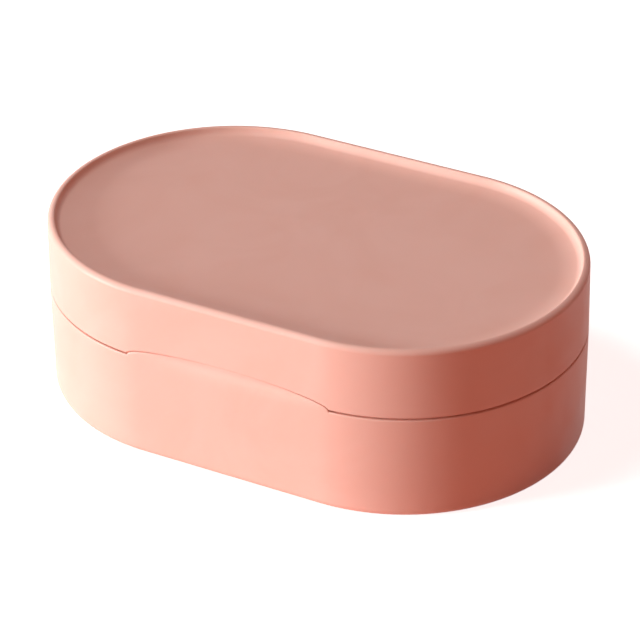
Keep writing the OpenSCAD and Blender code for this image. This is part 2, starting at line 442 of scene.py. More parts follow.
def pill_nodes(tree: Tree, start: Node) -> Socket:
    """Sets a round-ended piece on each point and stretches it along Y to that point's half_length.

    Args:
        tree: The tree to build in.
        start: Its input node.

    Returns:
        The output that carries the stretched pieces.
    """
    def stored(name: str) -> Socket:
        """Reads a number that the points carry."""
        return add_node(tree, "GeometryNodeInputNamedAttribute", {"data_type": "FLOAT"},
                        {"Name": name}).outputs[0]

    pill = add_node(tree, "GeometryNodeObjectInfo",
                    inputs={"Object": start.outputs["Pill"]}).outputs["Geometry"]
    copies = add_node(tree, "GeometryNodeInstanceOnPoints",
                      inputs={"Points": start.outputs["Geometry"], "Instance": pill}).outputs[0]
    real = add_node(tree, "GeometryNodeRealizeInstances", inputs={"Geometry": copies}).outputs[0]
    place = add_node(tree, "ShaderNodeSeparateXYZ",
                     inputs={0: add_node(tree, "GeometryNodeInputPosition").outputs[0]}).outputs["Y"]
    maths = partial(calculate, tree, "ShaderNodeMath")
    side = maths("SIGN", maths("SUBTRACT", place, stored("middle")))
    shift = maths("MULTIPLY", side, stored("half_length"))
    offset = add_node(tree, "ShaderNodeCombineXYZ", inputs={"Y": shift}).outputs[0]
    return add_node(tree, "GeometryNodeSetPosition", inputs={"Geometry": real, "Offset": offset}).outputs[0]


def row_nodes(tree: Tree, start: Node) -> Socket:
    """Repeats a piece along a straight row.

    Args:
        tree: The tree to build in.
        start: Its input node.

    Returns:
        The output that carries the copies.
    """
    line = add_node(tree, "GeometryNodeMeshLine",
                    inputs={"Count": start.outputs["Count"], "Start Location": start.outputs["First"],
                            "Offset": start.outputs["Step"]}).outputs[0]
    return add_node(tree, "GeometryNodeInstanceOnPoints",
                    inputs={"Points": line, "Instance": start.outputs["Geometry"]}).outputs[0]


@dataclass
class Workshop:
    """The node trees that several pieces share."""

    sweep: ShapeTree = field(default_factory=lambda: ShapeTree(
        "sweep_round_oblong",
        {"Spine Half Length": "NodeSocketFloat", "Side Segments": "NodeSocketInt",
         "End Segments": "NodeSocketInt"}, sweep_nodes))
    pills: ShapeTree = field(default_factory=lambda: ShapeTree(
        "pills_on_points", {"Pill": "NodeSocketObject"}, pill_nodes))
    row: ShapeTree = field(default_factory=lambda: ShapeTree(
        "straight_row",
        {"Count": "NodeSocketInt", "First": "NodeSocketVector", "Step": "NodeSocketVector"}, row_nodes))
    pill_spine: float = 0.02 * MM

    def oblong(self, name: str, profile: Profile, spine: float, side: int = 24, end: int = 72) -> Piece:
        """Makes a piece by sweeping a profile round an oblong.

        Args:
            name: Name of the piece.
            profile: Its profile, from axis to axis, or with its first point again at the end for a ring.
            spine: Half the length of the oblong's straight part.
            side: Segments of each straight side.
            end: Segments of each round end.

        Returns:
            The piece.
        """
        piece = polyline(name, [(r, 0.0, z) for r, z in profile])
        self.sweep.apply(piece, Spine_Half_Length=spine, Side_Segments=side, End_Segments=end)
        tidy(piece)
        return piece

    def turned(self, name: str, profile: Profile, steps: int = 48) -> Piece:
        """Makes a piece by turning a profile about the Z axis."""
        return self.oblong(name, profile, 0.0, 1, steps // 2)

    def pill_set(self, name: str, profile: Profile, spots: Sequence[tuple[float, float, float]],
                 steps: int = 16) -> Piece:
        """Makes a set of round-ended pieces that run along Y.

        Args:
            name: Name of the set.
            profile: Profile of each from axis to axis.
            spots: For each, the X and Y of its middle and half the length of its straight part.
            steps: Segments of each round end.

        Returns:
            One object with all of them.
        """
        pill = self.oblong(f"{name}_pill", profile, self.pill_spine, 1, steps)
        pill.data.transform(Matrix.Rotation(math.pi / 2, 4, "Z"))
        points = mesh_object(name, [(x, y, 0.0) for x, y, _ in spots], ())
        for label, place in (("middle", 1), ("half_length", 2)):
            stored = points.data.attributes.new(label, "FLOAT", "POINT")
            stored.data.foreach_set("value", [spot[place] for spot in spots])
        self.pills.apply(points, Pill=pill)
        bpy.data.objects.remove(pill)
        tidy(points)
        return points


@dataclass(frozen=True)
class Station:
    """Place along the box's outline: a point of the spine and the direction that the wall faces there."""

    spine_x: float
    out_x: float
    out_y: float
    front_x: float | None = None

    def place(self, r: float, z: float) -> Vector:
        """The point at a distance from the spine and a height."""
        return Vector((self.spine_x + r * self.out_x, r * self.out_y, z))


@dataclass(frozen=True)
class Outline:
    """The box's outline and the heights that its pieces share, read from the frame."""

    spine: float
    radius: float
    height: float
    seam: float
    tongue_top: float
    draft: float = 0.2 * MM
    wall: float = 3.4 * MM
    skirt: float = 1.6 * MM
    lap_gap: float = 0.2 * MM
    seam_gap: float = 0.2 * MM
    ledge_gap: float = 0.2 * MM
    arch_height: float = 3 * MM
    land_gap: float = 0.25 * MM
    scoop_half: float = 24.5 * MM

    @classmethod
    def from_frame(cls) -> "Outline":
        """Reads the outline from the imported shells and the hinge.

        Returns:
            The outline.
        """
        low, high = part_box("lid_shell")
        radius = -low[1]
        hinge = next(joint for joint in frame["joints"] if joint["name"] == "lid_hinge")
        return cls(spine=high[0] - radius, radius=radius, height=high[2], seam=hinge["pos_m"][2],
                   tongue_top=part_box("base_shell")[1][2])

    @property
    def inner(self) -> float:
        """Distance of the inner wall from the spine."""
        return self.radius - self.wall

    @property
    def tongue(self) -> float:
        """Distance of the tongue's outer face from the spine."""
        return self.radius - self.skirt - self.lap_gap

    def lid_edge(self, x: float | None) -> float:
        """Height of the lid's lower edge, which arches up over the thumb scoop.

        Args:
            x: The place along the front, or None off the front.

        Returns:
            The height.
        """
        if x is None or abs(x) >= self.scoop_half:
            return self.seam + self.seam_gap
        arch = self.arch_height * math.sqrt(1 - (x / self.scoop_half) ** 2)
        return self.seam + max(self.seam_gap, arch)

    def ledge(self, x: float | None) -> float:
        """Height of the base's ledge, which fills the lid's arch over the thumb scoop.

        Args:
            x: The place along the front, or None off the front.

        Returns:
            The height.
        """
        half = self.scoop_half - self.land_gap
        if x is None or abs(x) >= half:
            return self.seam - self.ledge_gap
        return self.seam + (self.arch_height - self.land_gap) * math.sqrt(1 - (x / half) ** 2)

    def stations(self, front_steps: int = 56, end_steps: int = 76) -> list[Station]:
        """Places round the outline, closest together at the ends of the scoop.

        Args:
            front_steps: Steps across the scoop.
            end_steps: Steps round each end.

        Returns:
            The stations, left to right along the front and on round the box. Front and rear match.
        """
        # Rounded to a nanometre, so that the middle is exactly 0
        xs = {round(-self.scoop_half * math.cos(math.pi * k / front_steps), 9)
              for k in range(front_steps + 1)}
        front = [self.front_station(x) for x in sorted(xs | {-self.spine, self.spine})]
        first = math.asin((self.scoop_half - self.spine) / self.radius)
        turns = [first + (math.pi - 2 * first) * k / end_steps for k in range(1, end_steps)]
        right = [Station(self.spine, math.sin(a), -math.cos(a)) for a in turns]
        rear = [Station(s.spine_x, s.out_x, -s.out_y) for s in reversed(front)]
        left = [Station(-self.spine, -math.sin(a), math.cos(a)) for a in turns]
        return front + right + rear + left

    def front_station(self, x: float) -> Station:
        """Finds the station at a place along the front.

        Args:
            x: The place.

        Returns:
            The station, which lies on a round end where the place is past the straight part.
        """
        past = abs(x) - self.spine
        if past <= 0:
            return Station(x, 0.0, -1.0, x)
        side = math.copysign(1.0, x)
        sine = past / self.radius
        return Station(side * self.spine, side * sine, -math.sqrt(1 - sine * sine), x)


def skin(name: str, stations: Sequence[Station], profile_at: Callable[[Station], Profile]) -> Piece:
    """Makes a closed shell from a profile at each station.

    Args:
        name: Name of the piece.
        stations: The stations, all the way round.
        profile_at: Gives a station's profile, from axis to axis, always with as many points.

    Returns:
        The piece.
    """
    rows = [[station.place(r, z) for r, z in profile_at(station)] for station in stations]
    width = len(rows[0])
    faces = []
    for i in range(len(rows)):
        here, there = i * width, (i + 1) % len(rows) * width
        faces += [(here + k, there + k, there + k + 1, here + k + 1) for k in range(width - 1)]
    piece = mesh_object(name, [vert for row in rows for vert in row], faces)
    tidy(piece)
    return piece


def linear(code: str) -> tuple[float, float, float, float]:
    """Turns an sRGB hex colour into linear values.

    Args:
        code: The colour, such as "#f2b8a2".

    Returns:
        Red, green, blue and an alpha of 1.
    """
    def channel(value: float) -> float:
        """Undoes the sRGB curve."""
        return value / 12.92 if value <= 0.04045 else ((value + 0.055) / 1.055) ** 2.4

    red, green, blue = (channel(int(code[i:i + 2], 16) / 255) for i in (1, 3, 5))
    return red, green, blue, 1.0


def noise(tree: Tree, place: Socket, size: float, detail: float = 2.0, distortion: float = 0.0) -> Socket:
    """A noise whose features have a real size.

    Args:
        tree: The material's tree.
        place: The coordinates, in metres.
        size: The size of its features, in metres.
        detail: Octaves of finer noise.
        distortion: How much it is swirled.

    Returns:
        The output with values from 0 to 1.
    """
    return add_node(tree, "ShaderNodeTexNoise", inputs={
        "Vector": place, "Scale": 1 / size, "Detail": detail, "Distortion": distortion}).outputs[0]


def blank_material(name: str) -> tuple[bpy.types.Material, Tree]:
    """Makes a material with an empty node tree.

    Args:
        name: Its name.

    Returns:
        The material and its tree.
    """
    material = bpy.data.materials.new(name)
    material.use_nodes = True
    material.node_tree.nodes.clear()
    return material, material.node_tree


@dataclass(frozen=True)
class Finish(ABC):
    """What a piece is dressed in: a material that is built once, however many pieces have it."""

    name: str

    @abstractmethod
    def surface(self, tree: Tree, place: Socket) -> Socket:
        """Builds the nodes up to the shader.

        Args:
            tree: The material's tree.
            place: The coordinates, in metres.

        Returns:
            The shader's output.
        """

    def material(self) -> bpy.types.Material:
        """Finds the material, or builds it if this is the first piece that has it.

        Returns:
            The material.
        """
        ready = bpy.data.materials.get(self.name)
        if ready:
            return ready
        material, tree = blank_material(self.name)
        place = add_node(tree, "ShaderNodeTexCoord").outputs["Object"]
        add_node(tree, "ShaderNodeOutputMaterial", inputs={"Surface": self.surface(tree, place)})
        return material


def blend(tree: Tree, share: Socket, first: str, second: str) -> Socket:
    """Blends two sRGB hex colours by a share from 0 to 1."""
    return add_node(tree, "ShaderNodeMix", {"data_type": "RGBA"}, {
        "Factor": share, "A": linear(first), "B": linear(second)}).outputs["Result"]


@dataclass(frozen=True)
class MouldedPlastic(Finish):
    """Injection-moulded polypropylene: satin from a spark-eroded mould, slightly uneven pigment."""

    colour: str
    flow_colour: str
    gloss: tuple[float, float] = (0.47, 0.57)
    ior: float = 1.49
    grain: float = 0.45 * MM
    grain_depth: float = 0.0035 * MM
    handling: float = 9 * MM
    handled: tuple[float, float] = (0.3, 0.7)
    flow: float = 26 * MM
    flowed: tuple[float, float] = (0.35, 0.65)
    scatter: float = 0.12
    scatter_depth: float = 1.6 * MM
    scatter_reach: tuple[float, float, float] = (1.0, 0.4, 0.28)

    def surface(self, tree: Tree, place: Socket) -> Socket:
        """Builds the nodes up to the shader, as Finish asks."""
        # Pigment that flowed into the mould leaves faint, wide and slightly swirled patches
        patches = mapped(tree, noise(tree, place, self.flow, detail=3.0, distortion=1.4), self.flowed)
        colour = blend(tree, patches, self.colour, self.flow_colour)
        # Handling makes some parts shine a little more than the rest
        rough = mapped(tree, noise(tree, place, self.handling, detail=4.0), self.handled, self.gloss)
        # The mould's satin is finer than this in life, and is drawn as coarse as it needs to show
        bump = add_node(tree, "ShaderNodeBump", inputs={
            "Height": noise(tree, place, self.grain), "Distance": self.grain_depth,
            "Strength": 1.0}).outputs[0]
        return add_node(tree, "ShaderNodeBsdfPrincipled", inputs={
            "Base Color": colour, "Roughness": rough, "Normal": bump, "IOR": self.ior,
            "Subsurface Weight": self.scatter, "Subsurface Radius": self.scatter_reach,
            "Subsurface Scale": self.scatter_depth}).outputs[0]


@dataclass(frozen=True)
class MouldedSilicone(Finish):
    """Silicone rubber: a dry, soft surface that holds a little dust and shines only at grazing angles."""

    colour: str
    dust_colour: str
    dust: float = 1.8 * MM
    roughness: tuple[float, float] = (0.55, 0.7)
    ior: float = 1.41
    sheen: float = 0.15
    scatter: float = 0.2
    scatter_depth: float = 1.0 * MM
    scatter_reach: tuple[float, float, float] = (1.0, 0.9, 0.8)

    def surface(self, tree: Tree, place: Socket) -> Socket:
        """Builds the nodes up to the shader, as Finish asks."""
        dust = noise(tree, place, self.dust, detail=5.0)
        return add_node(tree, "ShaderNodeBsdfPrincipled", inputs={
            "Base Color": blend(tree, dust, self.colour, self.dust_colour),
            "Roughness": mapped(tree, dust, to=self.roughness),
            "IOR": self.ior, "Sheen Weight": self.sheen,
            "Subsurface Weight": self.scatter, "Subsurface Radius": self.scatter_reach,
            "Subsurface Scale": self.scatter_depth}).outputs[0]


@dataclass(frozen=True)
class DrawnSteel(Finish):
    """Drawn stainless wire: fine lines along the wire from the die, bright between them."""

    colour: str = "#c6c7c9"
    line: float = 0.12 * MM
    line_length: float = 14 * MM
    line_depth: float = 0.004 * MM
    roughness: tuple[float, float] = (0.22, 0.36)

    def surface(self, tree: Tree, place: Socket) -> Socket:
        """Builds the nodes up to the shader, as Finish asks."""
        drawn = add_node(tree, "ShaderNodeMapping", inputs={
            "Vector": place, "Scale": (self.line / self.line_length, 1.0, 1.0)}).outputs[0]
        lines = noise(tree, drawn, self.line, detail=3.0)
        bump = add_node(tree, "ShaderNodeBump", inputs={
            "Height": lines, "Distance": self.line_depth, "Strength": 1.0}).outputs[0]
        return add_node(tree, "ShaderNodeBsdfPrincipled", inputs={
            "Base Color": linear(self.colour), "Metallic": 1.0, "Normal": bump,
            "Roughness": mapped(tree, lines, to=self.roughness)}).outputs[0]


# The pigment is in the plastic itself, so edges and insides have the colour of the outside
SHELL_PLASTIC = MouldedPlastic("moulded_polypropylene_peach", "#f5cabc", "#f2c5b6")
# With little pigment, the plastic lets light in, which softens the shadows of ribs and slots
TRAY_PLASTIC = MouldedPlastic("moulded_polypropylene_natural", "#efe6dc", "#eae0d4", scatter=0.25,
                              scatter_depth=2.4 * MM)
# Cloudy and dry, a little paler where dust clings
SEAL_RUBBER = MouldedSilicone("moulded_silicone_grey_white", "#dcd8d2", "#e6e3de")
# Bright metal, streaked along its length by the die
PIN_STEEL = DrawnSteel("drawn_stainless_wire")


def hand_over(piece: Piece, finish: Finish, body: Body, node: str) -> None:
    """Dresses a finished piece and hands it to the frame.

    Args:
        piece: The piece, with its place in its mesh.
        finish: Its finish.
        body: The body that it rides on.
        node: The CAD node that it stands for.
    """
    piece.data.materials.clear()
    piece.data.materials.append(finish.material())
    for face in piece.data.polygons:
        face.material_index = 0
    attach(piece, body.value)
    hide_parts(node)
    log.info("%s: %d faces on %s", piece.name, len(piece.data.polygons), body.value)


@dataclass(frozen=True)
class EjectorMarks:
    """Shallow round marks inside a moulding, in a grid, where pins pushed it out of its mould."""

    radius: float = 3 * MM
    depth: float = 0.15 * MM
    over: float = 1 * MM
    along: tuple[float, ...] = (-38 * MM, 0.0, 38 * MM)
    across: tuple[float, ...] = (-22 * MM, 22 * MM)

    def cutter(self, workshop: Workshop, name: str, face: float, side: int) -> Piece:
        """Makes the tool that cuts the marks.

        Args:
            workshop: The shared node trees.
            name: Name of the tool.
            face: Height of the face that has the marks.
            side: 1 if the plastic lies above that face, -1 if it lies below.

        Returns:
            The tool.
        """
        low, high = sorted((face + side * self.depth, face - side * self.over))
        profile = [(0.0, low), (self.radius, low), (self.radius, high), (0.0, high)]
        return workshop.pill_set(name, profile, [(x, y, 0.0) for x in self.along for y in self.across])


@dataclass
class Hinge:
    """Rear hinge: knuckles in turn on base and lid, each on a web that runs out on its wall, and a pin."""

    outline: Outline
    workshop: Workshop
    barrel: float = 2.6 * MM
    room: float = 0.4 * MM
    gap: float = 0.3 * MM
    web: float = 7.5 * MM
    knuckles: int = 5
    bore: float = 0.06 * MM
    edge: float = 0.25 * MM
    pin_edge: float = 0.3 * MM
    tuck: float = 0.2  # share of the barrel's radius that a knuckle reaches past the axis inside the wall
    arc_steps: int = 30
    round_steps: int = 64

    def __post_init__(self) -> None:
        """Reads the axis and the pin from the frame."""
        low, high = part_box("hinge_pin")
        self.left, self.width = low[0], high[0] - low[0]
        self.pin_radius = (high[2] - low[2]) / 2
        self.axis_y, self.axis_z = (low[1] + high[1]) / 2, (low[2] + high[2]) / 2
        self.pitch = self.width / self.knuckles

    def along_axis(self, piece: Piece, x: float) -> Piece:
        """Lays a piece that was turned about Z on the hinge axis, with its lower end at x."""
        place = Matrix.Translation((x, self.axis_y, self.axis_z))
        piece.data.transform(place @ Matrix.Rotation(math.pi / 2, 4, "Y"))
        return piece

    def rod(self, name: str, radius: float, length: float, x: float, edge: float = 0.0) -> Piece:
        """Makes a rod on the hinge axis.

        Args:
            name: Its name.
            radius: Its radius.
            length: Its length.
            x: Where it starts.
            edge: Radius of its rounded ends.

        Returns:
            The rod.
        """
        profile = rounded([Corner(0, 0), Corner(radius, 0, edge, 5), Corner(radius, length, edge, 5),
                           Corner(0, length)])
        return self.along_axis(self.workshop.turned(name, profile, self.round_steps), x)

    def knuckle(self, name: str, up: bool) -> Piece:
        """Makes one knuckle with its web, at x = 0.

        Args:
            name: Its name.
            up: Whether its web runs up the lid, or else down the base.

        Returns:
            The knuckle.
        """
        side = 1 if up else -1
        wall = self.outline.radius - self.axis_y
        foot = Vector((wall - self.outline.draft, side * self.web))
        inside = wall - self.outline.skirt / 2
        start = math.atan2(foot.y, foot.x) - side * math.acos(self.barrel / foot.length)
        arc = self.barrel_arc(start, side)
        ring = [(inside, side * self.web), (foot.x, foot.y), *arc,
                (inside, -side * self.barrel * self.tuck)]
        length = self.pitch - self.gap
        count = len(ring)
        verts = [(x, self.axis_y + y, self.axis_z + z) for x in (0.0, length) for y, z in ring]
        faces = [list(range(count)), list(range(2 * count - 1, count - 1, -1))]
        faces += [(i, (i + 1) % count, count + (i + 1) % count, count + i) for i in range(count)]
        piece = mesh_object(name, verts, faces)
        tidy(piece)
        with editing(piece) as shape:
            rims = [e for e in shape.edges if abs(e.verts[0].co.x - e.verts[1].co.x) < WELD
                    and max(v.co.y for v in e.verts) > self.outline.radius - self.outline.draft]
            bmesh.ops.bevel(shape, geom=rims, offset=self.edge, segments=3, profile=0.5, affect="EDGES",
                            clamp_overlap=True)
        return piece

    def barrel_arc(self, start: float, side: int) -> Profile:
        """Points round the barrel, from where the web leaves it, over its rear, to its front.

        Args:
            start: The angle at which the web leaves the barrel.
            side: 1 if the web runs up, -1 if it runs down.

        Returns:
            The points, as distance behind and above the axis.
        """
        end = -side * math.pi
        return [(self.barrel * math.cos(a), self.barrel * math.sin(a))
                for a in (start + (end - start) * k / self.arc_steps for k in range(self.arc_steps + 1))]

    def row(self, name: str, piece: Piece, first: int) -> Piece:
        """Repeats a piece at every second knuckle.

        Args:
            name: Name of the row.
            piece: The piece, at x = 0.
            first: 0 for the base's knuckles, 1 for the lid's.

        Returns:
            The row.
        """
        piece.name = name
        count = (self.knuckles + 1 - first) // 2
        start = self.left + first * self.pitch + self.gap / 2
        return self.workshop.row.apply(piece, Count=count, First=(start, 0.0, 0.0),
                                       Step=(2 * self.pitch, 0.0, 0.0))

    def fit(self, shell: Piece, up: bool) -> None:
        """Cuts a shell back for the other shell's knuckles, and gives it its own with their bore.

        Args:
            shell: The shell.
            up: Whether it is the lid.
        """
        own, other = (1, 0) if up else (0, 1)
        room = self.rod(f"{shell.name}_room", self.barrel + self.room, self.pitch + self.gap, -self.gap)
        carve(shell, self.row(f"{shell.name}_rooms", room, other), Cut.REMOVE)
        carve(shell, self.row(f"{shell.name}_knuckles", self.knuckle("knuckle", up), own), Cut.JOIN)
        bore = self.rod(f"{shell.name}_bore", self.pin_radius + self.bore, self.width + 2 * self.pitch,
                        self.left - self.pitch)
        carve(shell, bore, Cut.REMOVE)

    def build(self) -> None:
        """Makes the pin and hands it over."""
        pin = self.rod("hinge_wire_pin", self.pin_radius, self.width, self.left, self.pin_edge)
        polish(pin)
        hand_over(pin, PIN_STEEL, Body.BASE, "hinge_pin")


@dataclass
class BaseMoulding:
    """Base: walls with a lap tongue, thumb scoop, standing ring below, fins inside that carry the tray."""

    outline: Outline
    workshop: Workshop
    hinge: Hinge
    floor: float = 2.4 * MM
    bottom_edge: float = 1.8 * MM
    ring_width: float = 6 * MM
    foot_edge: float = 0.2 * MM
    recess: float = 0.6 * MM
    recess_corner: float = 0.5 * MM
    pad: float = 12 * MM
    floor_corner: float = 3 * MM
    tongue_edge: float = 0.4 * MM
    scoop_drop: float = 2 * MM
    scoop_rise: float = 5 * MM
    scoop_depth: float = 1 * MM
    scoop_zone: float = 5 * MM
    scoop_rows: int = 22
    ledge_edge: float = 0.3 * MM
    ledge_steps: int = 5
    fin_reach: float = 3.6 * MM
    fin_width: float = 2 * MM
    fin_edge: float = 0.4 * MM
    fin_sink: float = 0.5 * MM
    gate_radius: float = 1.5 * MM
    gate_depth: float = 0.35 * MM
    gate_edge: float = 0.3 * MM
    gate_mouth: float = 2.1 * MM

    def __post_init__(self) -> None:
        """Works out the hollow of the scoop."""
        half = self.outline.scoop_half
        self.hollow = (self.scoop_rise ** 2 + self.scoop_depth ** 2) / (2 * self.scoop_depth)
        self.edge_radius = (half ** 2 + self.scoop_drop ** 2) / (2 * self.scoop_drop)

    def hollow_at(self, x: float | None, z: float) -> float:
        """How far the scoop lies behind the outer face.

        Args:
            x: The place along the front, or None off the front.
            z: The height.

        Returns:
            The depth.
        """
        half = self.outline.scoop_half
        if x is None or abs(x) >= half:
            return 0.0
        axis_z = self.outline.seam - self.scoop_drop + self.edge_radius
        up = min(self.scoop_rise, max(0.0, self.edge_radius - math.hypot(x, axis_z - z)))
        return self.hollow - math.sqrt(self.hollow ** 2 - up ** 2)

    def wall_at(self, z: float) -> float:
        """Distance of the outer face from the spine at a height."""
        return self.outline.radius - self.outline.draft * (1 - z / self.outline.seam)

    def front_section(self, x: float | None) -> Profile:
        """Follows the base's outside from the tongue over the ledge or the thumb land and down the wall.

        Args:
            x: The place along the front, or None off the front.

        Returns:
            The points, as many at each place.
        """
        outline = self.outline
        top = outline.ledge(x)
        edge = self.ledge_edge
        start = outline.radius - self.hollow_at(x, top) - edge
        turn = self.wall_at(top - edge) - self.hollow_at(x, top - edge)
        points = [(outline.tongue, top + GUARD), (outline.tongue, top)]
        for k in range(self.ledge_steps + 1):
            a = math.pi / 2 * k / self.ledge_steps
            points.append((start + (turn - start) * math.sin(a), top - edge * (1 - math.cos(a))))
        low = outline.seam - self.scoop_zone
        for k in range(1, self.scoop_rows + 1):
            z = top - edge + (low - top + edge) * k / self.scoop_rows
            points.append((self.wall_at(z) - self.hollow_at(x, z), z))
        return points

    def profile(self, station: Station) -> Profile:
        """Draws the base's profile, from the floor's upper side round to the underside.

        Args:
            station: The place along the outline.

        Returns:
            The profile, from axis to axis.
        """
        outline = self.outline
        foot = outline.radius - outline.draft
        ring = foot - self.bottom_edge - self.ring_width
        inside = rounded([
            Corner(0, self.floor), Corner(outline.inner, self.floor, self.floor_corner, 12),
            Corner(outline.inner, outline.tongue_top, self.tongue_edge, 5),
            Corner(outline.tongue, outline.tongue_top, self.tongue_edge, 5),
            Corner(outline.tongue, outline.ledge(station.front_x))])[:-1]
        section = self.front_section(station.front_x)
        under = rounded([
            Corner(*section[-1]), Corner(foot, 0, self.bottom_edge, 14), Corner(ring, 0, self.foot_edge, 3),
            Corner(ring - self.recess, self.recess, self.recess_corner, 4),
            Corner(self.pad + self.recess, self.recess, self.recess_corner, 4),
            Corner(self.pad, 0, self.foot_edge, 3), Corner(0, 0)])[1:]
        return inside + section + under

    def fins(self) -> Piece:
        """Makes the fins that carry the tray.

        Returns:
            One tool with all of them, each with its foot in the floor and its back in the wall.
        """
        outline = self.outline
        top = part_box("drain_tray")[0][2]
        height = top - self.floor + self.fin_sink
        spots = [(side * (outline.spine + outline.inner), 0.0, True) for side in (-1, 1)]
        spots += [(x, side * outline.inner, False)
                  for side in (-1, 1) for x in (-outline.spine, 0.0, outline.spine)]
        fins = []
        for i, (x, y, lengthways) in enumerate(spots):
            spin = Matrix.Identity(4) if lengthways else Matrix.Rotation(math.pi / 2, 4, "Z")
            fins.append(mesh_object(f"fin_{i}", (), ()))
            with editing(fins[-1]) as shape:
                bmesh.ops.create_cube(shape, size=1.0)
                bmesh.ops.scale(shape, vec=(2 * self.fin_reach, self.fin_width, height), verts=shape.verts)
                bmesh.ops.bevel(shape, geom=shape.edges[:], offset=self.fin_edge, segments=3, profile=0.5,
                                affect="EDGES")
                shape.transform(Matrix.Translation((x, y, top - height / 2)) @ spin)
        return join("tray_fins", fins)

    def inside_only(self, tool: Piece) -> Piece:
        """Trims a tool to what lies within the wall's middle, so that nothing comes out of the outer face.

        Args:
            tool: The tool.

        Returns:
            The same tool.
        """
        reach, top = self.outline.inner + self.outline.wall / 2, self.outline.seam
        block = [(0.0, 0.0), (reach, 0.0), (reach, top), (0.0, top)]
        carve(tool, self.workshop.oblong("trim", block, self.outline.spine), Cut.SHARE)
        return tool

    def gate(self) -> Piece:
        """Makes the tool for the small dimple in the underside where the plastic entered the mould.

        Returns:
            The tool, which starts below the underside.
        """
        return self.workshop.turned("gate_dimple", rounded([
            Corner(0, -self.gate_edge), Corner(self.gate_mouth, -self.gate_edge),
            Corner(self.gate_radius, self.gate_depth, self.gate_edge, 4), Corner(0, self.gate_depth)]),
            steps=32)

    def build(self) -> None:
        """Makes the base and hands it over."""
        base = skin("base_moulding", self.outline.stations(), self.profile)
        self.hinge.fit(base, up=False)
        carve(base, self.inside_only(self.fins()), Cut.JOIN)
        marks = EjectorMarks().cutter(self.workshop, "base_ejector_marks", self.floor, side=-1)
        carve(base, marks, Cut.REMOVE)
        carve(base, self.gate(), Cut.REMOVE)
        polish(base)
        hand_over(base, SHELL_PLASTIC, Body.BASE, "base_shell")


@dataclass
class LidMoulding:
    """Lid: skirt over the tongue, rim, dished top, seal groove, lower edge arched over the scoop."""

    outline: Outline
    workshop: Workshop
    hinge: Hinge
    dish: float = 2.2 * MM
    top: float = 2 * MM
    rim_edge: float = 1.2 * MM
    rim_crest: float = 0.1 * MM
    rim_lip: float = 0.35 * MM
    rim_slope: float = math.radians(72)
    sweep_slope: float = math.radians(12)
    tight: float = 1.5 * MM
    wide: float = 20 * MM
    lower_edge: float = 0.35 * MM
    skirt_edge: float = 0.2 * MM
    groove_edge: float = 0.15 * MM
    wall_edge: float = 0.25 * MM
    ceiling_corner: float = 3 * MM
    shoulder_gap: float = 0.3 * MM
    seal_width: float = 1 * MM
    seal_fit: float = 0.05 * MM

    @property
    def ceiling(self) -> float:
        """Height of the lid's inside."""
        return self.outline.height - self.dish - self.top

    def dish_corners(self) -> list[Corner]:
        """Works out how the dish sweeps up to the rim.

        Returns:
            The corners from the middle of the dish's floor to the rim's outer edge.
        """
        outline = self.outline
        rim = outline.radius - outline.draft
        floor_z = outline.height - self.dish
        first = self.rim_lip * math.tan(self.rim_slope / 2)
        second = self.tight * math.tan((self.rim_slope - self.sweep_slope) / 2)
        third = self.wide * math.tan(self.sweep_slope / 2)
        crest = Vector((rim - self.rim_edge - self.rim_crest - first, outline.height))
        sweep_run = second + third
        steep_run = (self.dish - sweep_run * math.sin(self.sweep_slope)) / math.sin(self.rim_slope)
        bend = crest - steep_run * Vector((math.cos(self.rim_slope), math.sin(self.rim_slope)))
        flat = bend - sweep_run * Vector((math.cos(self.sweep_slope), math.sin(self.sweep_slope)))
        return [Corner(0, floor_z), Corner(flat.x, flat.y, self.wide, 14),
                Corner(bend.x, bend.y, self.tight, 8), Corner(crest.x, crest.y, self.rim_lip, 6),
                Corner(rim, outline.height, self.rim_edge, 12)]

    def profile(self, station: Station) -> Profile:
        """Draws the lid's profile, from the dish over the rim and skirt to the ceiling.

        Args:
            station: The place along the outline.

        Returns:
            The profile, from axis to axis.
        """
        outline = self.outline
        edge = outline.lid_edge(station.front_x)
        skirt = outline.radius - outline.skirt
        seal_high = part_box("lid_seal")[1]
        groove_in = seal_high[1] - self.seal_width - self.seal_fit
        groove_top = seal_high[2] + self.seal_fit
        shoulder = outline.tongue_top + self.shoulder_gap
        return rounded([
            *self.dish_corners(),
            Corner(outline.radius, edge, self.lower_edge, 6), Corner(skirt, edge, self.skirt_edge, 3),
            Corner(skirt, groove_top), Corner(groove_in, groove_top),
            Corner(groove_in, shoulder, self.groove_edge, 3),
            Corner(outline.inner, shoulder, self.wall_edge, 4),
            Corner(outline.inner, self.ceiling, self.ceiling_corner, 12), Corner(0, self.ceiling)])

    def build(self) -> None:
        """Makes the lid and hands it over."""
        lid = skin("lid_moulding", self.outline.stations(), self.profile)
        self.hinge.fit(lid, up=True)
        marks = EjectorMarks().cutter(self.workshop, "lid_ejector_marks", self.ceiling, side=1)
        carve(lid, marks, Cut.REMOVE)
        polish(lid)
        hand_over(lid, SHELL_PLASTIC, Body.LID, "lid_shell")


@dataclass
class SealRing:
    """Seal: a silicone ring in the lid's groove, with a rounded lip towards the tongue."""

    outline: Outline
    workshop: Workshop
    width: float = 1 * MM
    lip: float = 0.45 * MM
    back_edge: float = 0.12 * MM

    def build(self) -> None:
        """Makes the ring and hands it over."""
        low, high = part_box("lid_seal")
        outer = high[1]
        profile = rounded([
            Corner(outer - self.width, low[2], self.lip, 7), Corner(outer, low[2], self.lip, 7),
            Corner(outer, high[2], self.back_edge, 3),
            Corner(outer - self.width, high[2], self.back_edge, 3)], closed=True)
        ring = self.workshop.oblong("silicone_seal", profile + profile[:1], self.outline.spine)
        polish(ring)
        hand_over(ring, SEAL_RUBBER, Body.LID, "lid_seal")


